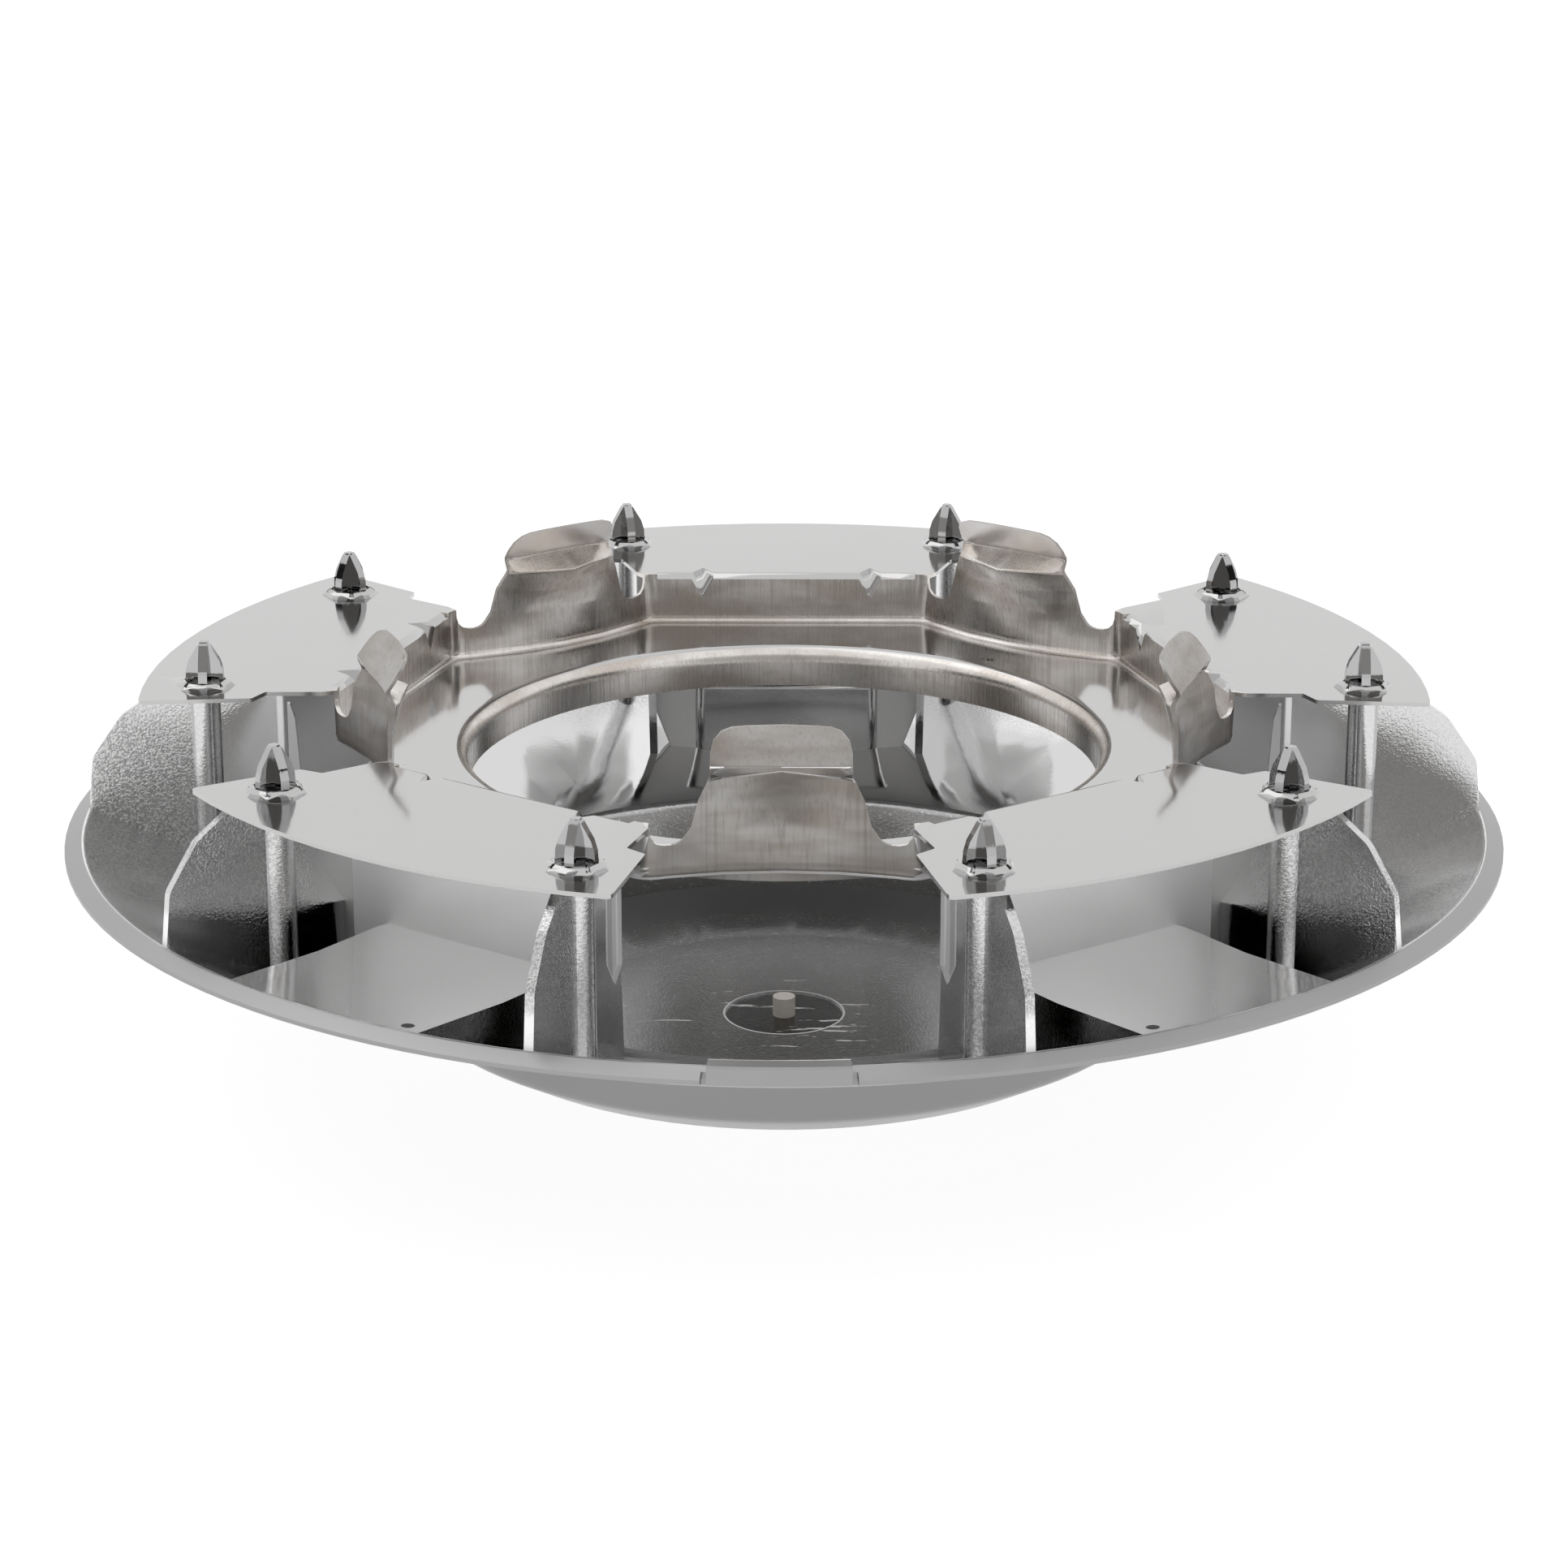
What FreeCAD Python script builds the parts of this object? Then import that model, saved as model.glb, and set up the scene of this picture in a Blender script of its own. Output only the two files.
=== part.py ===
"""Wheel centre cap: a chromed plastic moulding with a pressed spring steel clip on its back.

The cap lies face down, as it does on a bench, with its back up.
Millimetres, +Z up. The axis of the cap is the Z axis, and the hub's flat land stands at Z = 0.
Round stretches of an outline are arcs of a few straight edges, so that the meshes stay light.
"""
import FreeCAD, Part
import math
import os

from FreeCAD import Vector

os.makedirs("parts", exist_ok=True)

# Driving dimensions
# Heights below are measured from the plane of the rim's widest circle, unless they say otherwise.

# Moulding: rim and dished face
CAP_DIAMETER = 210.0
WALL = 2.4
RIM_LAND = 2.5            # radial width of the sloping land round the edge
RIM_RISE = 1.2            # the land's inner edge stands this far above the widest circle
RIM_EDGE = 0.6            # straight edge below the widest circle
RIM_CREASE = 0.8          # rounding where the land meets the dish
DISH_BULGE = 0.87         # the dish bows this far out of the straight line from rim to hub
THROAT_R = 56.4           # where the dish turns down into the hub cup
THROAT_Z = -16.3
THROAT_ROUND = 1.8

# Moulding: hub cup that stands out of the face
HUB_DEPTH = 34.5          # from the widest circle down to the flat land that the cap rests on
HUB_LAND_OUTER_R = 33.0
HUB_LAND_WIDTH = 3.0      # inside it lies a bare round seat
HUB_SEAT_DEPTH = 0.8
HUB_SIDE_OUT = 0.2        # the cup's lower edge stands this far outside the throat
HUB_SIDE_Z = -25.6
HUB_SIDE_DRAFT = 0.9      # the cup widens by this much up to the dish
HUB_CROWN_BULGE = 1.45
HUB_EDGE_ROUND = 2.2
HUB_INNER_ROUND = 2.5

# Moulding: gate in the middle of the cup's floor
GATE_DISC_R = 8.85
GATE_DISC_DEPTH = 0.35
GATE_NUB_DIAMETER = 2.3
GATE_NUB_HEIGHT = 2.6

# Moulding: five pockets in the face, which show as boxes on the back
COUNT = 5
POCKET_WIDTH = 32.6
POCKET_OUT = 12.2         # from the throat to the pocket's inner wall
POCKET_CREASE_INSET = 21.0
POCKET_TOP_Z = 0.0
POCKET_ROUND = 3.0
POCKET_EDGE_ROUND = 1.6
POCKET_RIM_MARGIN = 5.0   # the hollow on the face side stops this far inside the rim land

# Moulding: ten radial webs and their posts, with places measured in from the rim
POST_INSET = 20.3
POST_HALF_ANGLE = 18.0    # a post stands this far each side of a pad's middle
WEB_THICKNESS = 1.3
WEB_CLEARANCE = 3.4       # from the clip's pan to the web
WEB_INNER_LEAN = 2.4
WEB_INNER_ROUND = 4.5
WEB_TOP_INSET = 13.6
WEB_SHOULDER_INSET = 7.7
WEB_SHOULDER_DROP = 4.0
WEB_CORNER_INSET = 3.3
WEB_CORNER_DROP = 10.4
WEB_CORNER_ROUND = 3.0
COLUMN_DIAMETER = 4.6
POST_SPAN = 5.5           # tip to tip across the cross-shaped post
POST_VANE = 1.3
POST_STAND = 6.7          # above the clip's pads
POST_STRAIGHT = 0.8
POST_SHOULDER = 3.9       # height of the bullet's shoulder above the pads
POST_SHOULDER_SPAN = 4.5
POST_BULGE = 0.2
POST_TIP_SPAN = 1.8
POST_TIP_FLAT = 0.5

# Moulding: tab in the rim for a pry tool
TAB_HALF_ANGLE = 5.0
TAB_RISE = 1.9
TAB_DEPTH = 2.7
TAB_EDGE = 0.3
TAB_GAP = 0.8

# Clip: pressed from one steel sheet
SHEET = 0.6
PAD_TOP_Z = 19.8
PAD_INSET = 11.2          # the pads' outside edge is this far in from the rim
PAD_HALF_ANGLE = 22.9
PAD_TIP_OUT = 11.2        # places of the pads' notched ends, out from the pan's corner
PAD_NOTCH_OUT = 9.4
PAD_NOTCH_ANGLE = 20.6
PAD_END_OUT = 0.4
PAD_END_ANGLE = 20.9
PAD_CORNER_ROUND = 0.9
FLOOR_TOP_Z = 12.0
PAN_FLAT_R = 62.0         # outside of the pan's wall under a pad, square to the pad's middle
PAN_CORNER_R = 66.2
PAN_CORNER_ANGLE = 16.0   # from the finger's middle
PAN_FINGER_R = 60.2       # outside of the pan's wall at a finger's middle
FINGER_BOW_R = 52.0       # the fingers are bowed inwards to this radius
FINGER_BOW_HALF = 15.0
PAN_CORNER_ROUND = 4.0
BEND_ROUND = 1.0          # inside radius of every bend
HOLE_R = 46.2
HOLE_BEND = 1.8
HOLE_LIP_DEPTH = 6.0
GAUGE_HOLE_DIAMETER = 2.2
GAUGE_HOLE_R = 50.9
GAUGE_HOLE_ANGLE = 51.7
DART_OFFSET = 13.4        # pressed darts that stiffen a pad's bend, from the pad's middle
DART_HALF = 4.6
DART_REACH = 4.2

# Clip: spring fingers. Their outside is given at heights: how far it stands out from the pan's
# wall in the middle of a finger, a quarter of the bow's width from it, and at the bow's end
FINGER_START_Z = 13.6
FINGER_RINGS = [
    (18.0, (-0.7, -0.1, 0.3)),
    (22.0, (-2.2, -0.6, 0.9)),
    (25.1, (-3.7, -1.3, 1.5)),    # waist
    (27.1, (1.4, 0.75, -1.0)),    # lobe
]
FINGER_TIP_Z = 31.8
FINGER_TIP_OUT = (-2.8, -3.2, -4.7)
FINGER_TIP_HALF = 9.4
FINGER_TIP_ROUND = 3.0
FINGER_TIP_CROWN = 0.4
FINGER_WAIST_HALF = 9.5
FINGER_WAIST_Z = 25.4
FINGER_NECK_HALF = 11.0
FINGER_NECK_Z = 22.5
FINGER_ROOT_HALF = 12.0
FINGER_ROOT_Z = 18.8
VALLEY_Z = 16.6
VALLEY_HALF = 13.6        # where the finger's flank would meet the valley's floor
VALLEY_OUTER_HALF = 17.6
VALLEY_ROUND = 2.0

# Clip: bent-up collar that grips a post
POST_FIT = 0.1            # all round, between a post and the clip's hole
COLLAR_RISE = 0.9
COLLAR_REACH = 0.7
COLLAR_SIDES = 8
COLLAR_SLIT = 0.7

# How many straight edges stand for a round stretch
BEND_STEPS = 3
FOLD_STEPS = 2
DISH_STEPS = 3
CROWN_STEPS = 4
PAD_EDGE_STEPS = 12

# Worked-out sizes
RIM_R = CAP_DIAMETER / 2
DISH_EDGE_R = RIM_R - RIM_LAND
POCKET_INNER_R = THROAT_R + POCKET_OUT
POCKET_CREASE_R = RIM_R - POCKET_CREASE_INSET
POST_CIRCLE_R = RIM_R - POST_INSET
WEB_INNER_R = PAN_CORNER_R + WEB_CLEARANCE
PAD_OUTER_R = RIM_R - PAD_INSET
PAD_TIP_R = PAN_CORNER_R + PAD_TIP_OUT
PAD_NOTCH_R = PAN_CORNER_R + PAD_NOTCH_OUT
PAD_END_R = PAN_CORNER_R + PAD_END_OUT
PAD_UNDER_Z = PAD_TOP_Z - SHEET
FLOOR_UNDER_Z = FLOOR_TOP_Z - SHEET
SEAT_Z = HUB_SEAT_DEPTH - HUB_DEPTH
CUP_FLOOR_Z = SEAT_Z + WALL
PITCH = 360.0 / COUNT
FIRST_PAD = 90.0
FIRST_FINGER = FIRST_PAD - PITCH / 2
BIG = 3 * CAP_DIAMETER
AXIS = Vector(0, 0, 1)
ACROSS = Vector(0, 1, 0)
ORIGIN = Vector(0, 0, 0)


# Outlines

def at(r, z):
    """A point of an outline that lies in the plane through the cap's axis and +X."""
    return Vector(r, 0, z)


def polar(r, angle, z=0.0):
    return Vector(r * math.cos(math.radians(angle)), r * math.sin(math.radians(angle)), z)


def arc_points(a, b, c, steps):
    """Points at even turns on the arc from a through b to c, both ends included."""
    return Part.Arc(a, b, c).toShape().discretize(Number=steps + 1)


def bowed(a, b, bulge, steps):
    """Points of an upright outline on the arc from a to b, which bulges to the right of the line."""
    right = ACROSS.cross(b - a)
    right.normalize()
    return arc_points(a, (a + b) * 0.5 + right * bulge, b, steps)


def softened(corners, steps=BEND_STEPS, closed=True):
    """The points of an outline whose corners are given as (point, rounding)."""
    points = []
    last = len(corners) - 1
    for i, (corner, rounding) in enumerate(corners):
        if not rounding or (not closed and i in (0, last)):
            points.append(corner)
            continue
        back = corners[i - 1][0] - corner
        ahead = corners[(i + 1) % len(corners)][0] - corner
        half = back.getAngle(ahead) / 2
        back.normalize()
        ahead.normalize()
        reach = rounding / math.tan(half)
        inward = back + ahead
        inward.normalize()
        middle = corner + inward * (rounding / math.sin(half) - rounding)
        points += arc_points(corner + back * reach, middle, corner + ahead * reach, steps)
    return points


def plain(points):
    """Corners without any rounding."""
    return [(point, 0) for point in points]


def beside(points, distance, up, closed=False):
    """The line of points moved to the left of its run by a distance, as seen with up towards the eye."""
    count = len(points)
    moved = []
    for i, point in enumerate(points):
        runs = []
        if closed or i > 0:
            runs.append(point - points[i - 1])
        if closed or i < count - 1:
            runs.append(points[(i + 1) % count] - point)
        sides = [up.cross(run) for run in runs]
        for side in sides:
            side.normalize()
        middle = sides[0] + sides[-1]
        middle.normalize()
        moved.append(point + middle * (distance / middle.dot(sides[0])))
    return moved


def face_of(points):
    return Part.Face(Part.makePolygon(points + [points[0]]))


def spun(points, angle=360):
    return face_of(points).revolve(ORIGIN, AXIS, angle)


# Solids

def turned(shape, angle):
    copy = shape.copy()
    copy.rotate(ORIGIN, AXIS, angle)
    return copy


def around(shape, first):
    return [turned(shape, first + i * PITCH) for i in range(COUNT)]


def thick(points, half):
    """An upright outline made into a prism that reaches the same distance to both sides."""
    face = face_of(points)
    face.translate(ACROSS * -half)
    return face.extrude(ACROSS * (2 * half))


def joined(shapes):
    return shapes[0].fuse(shapes[1:])


def biggest_solid(shape):
    return max(shape.Solids, key=lambda solid: solid.Volume)


def post_angles():
    middles = [FIRST_PAD + i * PITCH for i in range(COUNT)]
    return [middle + side * POST_HALF_ANGLE for middle in middles for side in (-1, 1)]


# The dish: an arc on the back, and the same arc a wall further out on the face

DISH_EDGE = at(DISH_EDGE_R, RIM_RISE)
THROAT = at(THROAT_R, THROAT_Z)
DISH_RUN = bowed(THROAT, DISH_EDGE, DISH_BULGE, DISH_STEPS)
FACE_RUN = beside(DISH_RUN, -WALL, -ACROSS)


def height_on(run, r):
    """Height of a run of points at radius r, carried on straight past its end."""
    pairs = list(zip(run, run[1:]))
    a, b = next((pair for pair in pairs if r <= pair[1].x), pairs[-1])
    return a.z + (b.z - a.z) * (r - a.x) / (b.x - a.x)


def moulding_wall():
    """The spun skin of the moulding: rim land, dish, and the hub cup with its bare seat."""
    land_z = -HUB_DEPTH
    side_r = THROAT_R + HUB_SIDE_OUT
    throat_out_r = side_r + HUB_SIDE_DRAFT
    seat_r = HUB_LAND_OUTER_R - HUB_LAND_WIDTH
    cup_side = at(side_r, HUB_SIDE_Z)
    inner_side = at(side_r - WALL, HUB_SIDE_Z + WALL * 0.7)
    crown = bowed(at(HUB_LAND_OUTER_R, land_z), cup_side, HUB_CROWN_BULGE, BEND_STEPS)
    inner_crown = bowed(inner_side, at(HUB_LAND_OUTER_R, CUP_FLOOR_Z), -HUB_CROWN_BULGE, BEND_STEPS)
    corners = plain([at(0, SEAT_Z), at(seat_r, SEAT_Z), at(seat_r, land_z)])
    corners += plain(crown[:-1])
    corners.append((cup_side, HUB_EDGE_ROUND))
    corners.append((at(throat_out_r, height_on(FACE_RUN, throat_out_r)), 0))
    corners += plain(FACE_RUN[1:-1])
    corners += plain([at(DISH_EDGE_R, height_on(FACE_RUN, DISH_EDGE_R)), at(RIM_R, -RIM_EDGE), at(RIM_R, 0)])
    corners.append((DISH_EDGE, RIM_CREASE))
    corners += plain(DISH_RUN[-2:0:-1])
    corners.append((THROAT, THROAT_ROUND))
    corners.append((inner_side, HUB_INNER_ROUND))
    corners += plain(inner_crown[1:])
    corners.append((at(0, CUP_FLOOR_Z), 0))
    return spun(softened(corners, FOLD_STEPS))


def above_dish():
    """Everything above the middle of the dish's wall, between the hub cup and the rim land."""
    run = beside(DISH_RUN, -WALL / 2, -ACROSS)
    inner_r = THROAT_R + WALL
    low = at(inner_r, height_on(run, inner_r))
    high = at(DISH_EDGE_R, height_on(run, DISH_EDGE_R))
    return spun([low] + run[1:-1] + [high, at(DISH_EDGE_R, BIG), at(inner_r, BIG)])


def pocket_block(inner_r, outer_r, half, drop, plan_round, roof_round):
    """A block along +X under the sloping roof of a pocket, with its roof lowered by drop."""
    low = -HUB_DEPTH
    crease = at(POCKET_CREASE_R, POCKET_TOP_Z - drop)
    slope = (RIM_RISE - POCKET_TOP_Z) / (DISH_EDGE_R - POCKET_CREASE_R)
    roof_end = at(outer_r, crease.z + slope * (outer_r - POCKET_CREASE_R))
    side = softened([(at(inner_r, low), 0), (at(inner_r, crease.z), roof_round), (crease, 0), (roof_end, 0),
                     (at(outer_r, low), 0)])
    plan = softened([(Vector(inner_r, -half, low), plan_round), (Vector(outer_r, -half, low), 0),
                     (Vector(outer_r, half, low), 0), (Vector(inner_r, half, low), plan_round)])
    return face_of(plan).extrude(AXIS * BIG).common(thick(side, POCKET_WIDTH))


def web():
    """One radial web along +X, with its column."""
    top = PAD_UNDER_Z
    low = THROAT_Z
    outline = softened([
        (at(WEB_INNER_R, low), 0),
        (at(WEB_INNER_R + WEB_INNER_LEAN, top), WEB_INNER_ROUND),
        (at(RIM_R - WEB_TOP_INSET, top), 0),
        (at(RIM_R - WEB_SHOULDER_INSET, top - WEB_SHOULDER_DROP), WEB_CORNER_ROUND),
        (at(RIM_R - WEB_CORNER_INSET, top - WEB_CORNER_DROP), WEB_CORNER_ROUND),
        (DISH_EDGE, 0),
        (at(DISH_EDGE_R, low), 0),
    ])
    column = Part.makeCylinder(COLUMN_DIAMETER / 2, top - low, at(POST_CIRCLE_R, low))
    return thick(outline, WEB_THICKNESS / 2).fuse(column)


def post():
    """The bullet-shaped post on a web along +X: two crossed vanes of one pointed outline."""
    half = POST_SPAN / 2
    tip_z = PAD_TOP_Z + POST_STAND
    side = bowed(at(half, PAD_TOP_Z + POST_STRAIGHT), at(POST_SHOULDER_SPAN / 2, PAD_TOP_Z + POST_SHOULDER),
                 POST_BULGE, FOLD_STEPS)
    side += [at(POST_TIP_SPAN / 2, tip_z - POST_TIP_FLAT), at(POST_TIP_SPAN / 4, tip_z)]
    outline = [at(-half, PAD_UNDER_Z), at(half, PAD_UNDER_Z)] + side
    outline += [at(-point.x, point.z) for point in reversed(side)]
    vane = thick(outline, POST_VANE / 2)
    cross = vane.fuse(turned(vane, 90))
    cross.translate(at(POST_CIRCLE_R, 0))
    return cross


def pry_tab():
    """The tab at the front of the rim, and the two gaps beside it."""
    inner_r = RIM_R - TAB_DEPTH
    outline = [at(inner_r, -RIM_EDGE), at(RIM_R, -RIM_EDGE), at(RIM_R, TAB_RISE - TAB_EDGE),
               at(RIM_R - TAB_EDGE, TAB_RISE), at(inner_r, TAB_RISE)]
    tab = turned(spun(outline, 2 * TAB_HALF_ANGLE), -90 - TAB_HALF_ANGLE)
    gap_angle = math.degrees(TAB_GAP / RIM_R)
    gap_r = RIM_R - TAB_DEPTH / 2
    gap_outer_r = RIM_R + TAB_DEPTH
    slit = spun([at(gap_r, -BIG), at(gap_outer_r, -BIG), at(gap_outer_r, BIG), at(gap_r, BIG)], gap_angle)
    return tab, [turned(slit, -90 - TAB_HALF_ANGLE - gap_angle), turned(slit, -90 + TAB_HALF_ANGLE)]


def make_shell():
    half = POCKET_WIDTH / 2
    block = pocket_block(POCKET_INNER_R, DISH_EDGE_R, half, 0, POCKET_ROUND, POCKET_EDGE_ROUND)
    hollow = pocket_block(POCKET_INNER_R + WALL, DISH_EDGE_R - POCKET_RIM_MARGIN, half - WALL, WALL,
                          POCKET_ROUND / 2, 0)
    raised = above_dish()
    blocks = [shape.common(raised) for shape in around(block, FIRST_PAD)]
    webs = [turned(web(), angle).common(raised) for angle in post_angles()]
    posts = [turned(post(), angle) for angle in post_angles()]
    tab, gaps = pry_tab()
    disc_foot = at(0, CUP_FLOOR_Z - GATE_DISC_DEPTH)
    disc = Part.makeCylinder(GATE_DISC_R, GATE_DISC_DEPTH, disc_foot)
    nub = Part.makeCylinder(GATE_NUB_DIAMETER / 2, GATE_NUB_HEIGHT + GATE_DISC_DEPTH, disc_foot)
    body = joined([moulding_wall()] + blocks + webs + posts + [tab])
    body = body.cut(around(hollow, FIRST_PAD) + gaps + [disc]).fuse(nub)
    return biggest_solid(body.removeSplitter())


# The clip

def pan_outline(outs=(0, 0, 0)):
    """Plan of the pan's outside: flats under the pads, and runs bowed inwards at the fingers, moved out."""
    sag = FINGER_BOW_R - math.sqrt(FINGER_BOW_R ** 2 - FINGER_BOW_HALF ** 2)
    bow = arc_points(Vector(PAN_FINGER_R + sag, -FINGER_BOW_HALF, 0), Vector(PAN_FINGER_R, 0, 0),
                     Vector(PAN_FINGER_R + sag, FINGER_BOW_HALF, 0), 2 * (len(outs) - 1))
    bow = [point + at(out, 0) for point, out in zip(bow, outs[:0:-1] + outs)]
    corners = []
    for i in range(COUNT):
        middle = FIRST_FINGER + i * PITCH
        corners.append((polar(PAN_CORNER_R, middle - PAN_CORNER_ANGLE), PAN_CORNER_ROUND))
        corners += plain([FreeCAD.Rotation(AXIS, middle).multVec(point) for point in bow])
        corners.append((polar(PAN_CORNER_R, middle + PAN_CORNER_ANGLE), PAN_CORNER_ROUND))
    return softened(corners)


def pan_block(inset, low, rounding):
    """The pan and the fingers as one block, inset from their outside, with a rounded lower edge."""
    level = (0, 0, 0)
    rings = []
    for step in range(BEND_STEPS + 1):
        turn = math.radians(90 * step / BEND_STEPS)
        rings.append((rounding * (1 - math.sin(turn)), level, low + rounding * (1 - math.cos(turn))))
    rings.append((0, level, FINGER_START_Z))
    rings += [(0, outs, z) for z, outs in FINGER_RINGS]
    rings.append((0, FINGER_TIP_OUT, FINGER_TIP_Z + SHEET))
    wires = []
    for further, outs, z in rings:
        points = beside(pan_outline(outs), inset + further, AXIS, closed=True)
        wire = Part.makePolygon(points + [points[0]])
        wire.translate(AXIS * z)
        wires.append(wire)
    return Part.makeLoft(wires, True, True)


def pad_plate():
    """One flat pad along +X: arc outside, notched ends, running in over the pan."""
    inner_r = PAN_FLAT_R - SHEET - BEND_ROUND
    ends = {}
    for side in (-1, 1):
        ends[side] = [(polar(PAD_OUTER_R, side * PAD_HALF_ANGLE), PAD_CORNER_ROUND),
                      (polar(PAD_TIP_R, side * PAD_HALF_ANGLE), PAD_CORNER_ROUND / 2),
                      (polar(PAD_NOTCH_R, side * PAD_NOTCH_ANGLE), PAD_CORNER_ROUND / 2),
                      (polar(PAD_END_R, side * PAD_END_ANGLE), 0),
                      (polar(inner_r, side * PAD_NOTCH_ANGLE), 0)]
    step = 2 * PAD_HALF_ANGLE / PAD_EDGE_STEPS
    edge = [polar(PAD_OUTER_R, i * step - PAD_HALF_ANGLE) for i in range(1, PAD_EDGE_STEPS)]
    plate = face_of(softened(ends[-1][::-1] + plain(edge) + ends[1])).extrude(AXIS * SHEET)
    plate.translate(AXIS * PAD_UNDER_Z)
    return plate


def pad_bend():
    """What is added under the bend from a pad to the pan's wall, and what is taken off on top of it."""
    outer = PAN_FLAT_R
    centre = at(outer + BEND_ROUND, PAD_UNDER_Z - BEND_ROUND)
    towards = at(-math.sqrt(0.5), math.sqrt(0.5))
    under = arc_points(at(outer, centre.z), centre + towards * BEND_ROUND, at(centre.x, PAD_UNDER_Z), BEND_STEPS)
    over = arc_points(at(outer - SHEET, centre.z), centre + towards * (BEND_ROUND + SHEET),
                      at(centre.x, PAD_TOP_Z), BEND_STEPS)
    corner_half = PAN_CORNER_R * math.sin(math.radians(PITCH / 2 - PAN_CORNER_ANGLE))
    half = corner_half - PAN_CORNER_ROUND / 2
    added = thick(under + [at(outer - SHEET / 2, PAD_UNDER_Z + SHEET / 2)], half)
    removed = thick(over + [at(centre.x, BIG), at(0, BIG), at(0, centre.z)], half)
    return added, removed


def dart(grow):
    """A V-shaped dart across a pad's bend, along +X; grown by a distance to make the rib on its back."""
    corner = at(PAN_FLAT_R - SHEET + grow, PAD_TOP_Z - grow)
    out_tip = corner + at(DART_REACH, 0)
    down_tip = corner - at(0, DART_REACH)
    above = corner + at(-DART_REACH / 2, DART_REACH / 2)
    left = above - ACROSS * DART_HALF
    right = above + ACROSS * DART_HALF
    sides = [face_of([left, out_tip, right]), face_of([left, right, down_tip]),
             face_of([left, down_tip, out_tip]), face_of([right, out_tip, down_tip])]
    return Part.Solid(Part.Shell(sides))


def darts(grow):
    """All ten darts, two across each pad's bend."""
    shapes = []
    for side in (-1, 1):
        one = dart(grow)
        one.translate(ACROSS * (side * DART_OFFSET))
        shapes += around(one, FIRST_PAD)
    return shapes


def finger_window():
    """What is cut away round a finger: everything above the valleys that is not the finger."""
    def flank(side):
        return [
            (Vector(0, side * VALLEY_HALF, VALLEY_Z), VALLEY_ROUND),
            (Vector(0, side * FINGER_ROOT_HALF, FINGER_ROOT_Z), 0),
            (Vector(0, side * FINGER_NECK_HALF, FINGER_NECK_Z), 0),
            (Vector(0, side * FINGER_WAIST_HALF, FINGER_WAIST_Z), 0),
            (Vector(0, side * FINGER_TIP_HALF, corner_z), FINGER_TIP_ROUND),
        ]
    corner_z = FINGER_TIP_Z - FINGER_TIP_CROWN
    crown = arc_points(Vector(0, -FINGER_TIP_HALF, corner_z), Vector(0, 0, FINGER_TIP_Z),
                       Vector(0, FINGER_TIP_HALF, corner_z), CROWN_STEPS)
    top = FINGER_TIP_Z + 2 * FINGER_TIP_ROUND
    frame = [(Vector(0, VALLEY_OUTER_HALF, VALLEY_Z), VALLEY_ROUND), (Vector(0, VALLEY_OUTER_HALF, top), 0),
             (Vector(0, -VALLEY_OUTER_HALF, top), 0), (Vector(0, -VALLEY_OUTER_HALF, VALLEY_Z), VALLEY_ROUND)]
    block = face_of(softened(frame + flank(-1) + plain(crown[1:-1]) + flank(1)[::-1]))
    start = HOLE_R + HOLE_BEND + SHEET
    block.translate(at(start, 0))
    return block.extrude(at(PAD_NOTCH_R - start, 0))


def above_pads():
    """Everything above the pads that is not in a finger's own window."""
    height = BIG
    keep = Part.makeBox(PAD_NOTCH_R, 2 * VALLEY_OUTER_HALF, height, Vector(0, -VALLEY_OUTER_HALF, PAD_TOP_Z))
    return Part.makeCylinder(PAD_NOTCH_R, height, at(0, PAD_TOP_Z)).cut(around(keep, FIRST_FINGER))


def hole_lip():
    """The hole's rolled lip, turned down from the pan's floor, and the radius where it starts."""
    flat_r = HOLE_R + HOLE_BEND + SHEET
    line = softened([(at(flat_r + SHEET, FLOOR_TOP_Z), 0), (at(HOLE_R, FLOOR_TOP_Z), HOLE_BEND + SHEET),
                     (at(HOLE_R, FLOOR_TOP_Z - HOLE_LIP_DEPTH), 0)], closed=False)
    return spun(line + beside(line, SHEET, -ACROSS)[::-1]), flat_r


def collar():
    """The bent-up collar round a post along +X, with its slits, and the hole that it stands in."""
    tight = (POST_SPAN / 2 + POST_FIT) / math.cos(math.pi / COLLAR_SIDES)
    wide = tight + COLLAR_REACH

    def ring(r, z):
        return Part.makePolygon([polar(r, 360 * i / COLLAR_SIDES, z) for i in range(COLLAR_SIDES + 1)])

    outside = Part.makeLoft([ring(wide + SHEET, PAD_UNDER_Z), ring(wide + SHEET, PAD_TOP_Z),
                             ring(tight + SHEET / 2, PAD_TOP_Z + COLLAR_RISE)], True, True)
    inside = Part.makeLoft([ring(wide, PAD_UNDER_Z - SHEET), ring(wide, PAD_UNDER_Z),
                            ring(tight, PAD_TOP_Z + COLLAR_RISE - SHEET), ring(tight, BIG)], True, True)
    slit = Part.makeBox(2 * wide, COLLAR_SLIT, BIG, Vector(-wide, -COLLAR_SLIT / 2, PAD_TOP_Z))
    grip = outside.cut([inside, turned(slit, 45), turned(slit, -45)])
    hole = Part.Face(Part.Wire(ring(wide + SHEET / 2, PAD_UNDER_Z - SHEET))).extrude(AXIS * (3 * SHEET))
    for shape in (grip, hole):
        shape.translate(at(POST_CIRCLE_R, 0))
    return grip, hole


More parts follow.
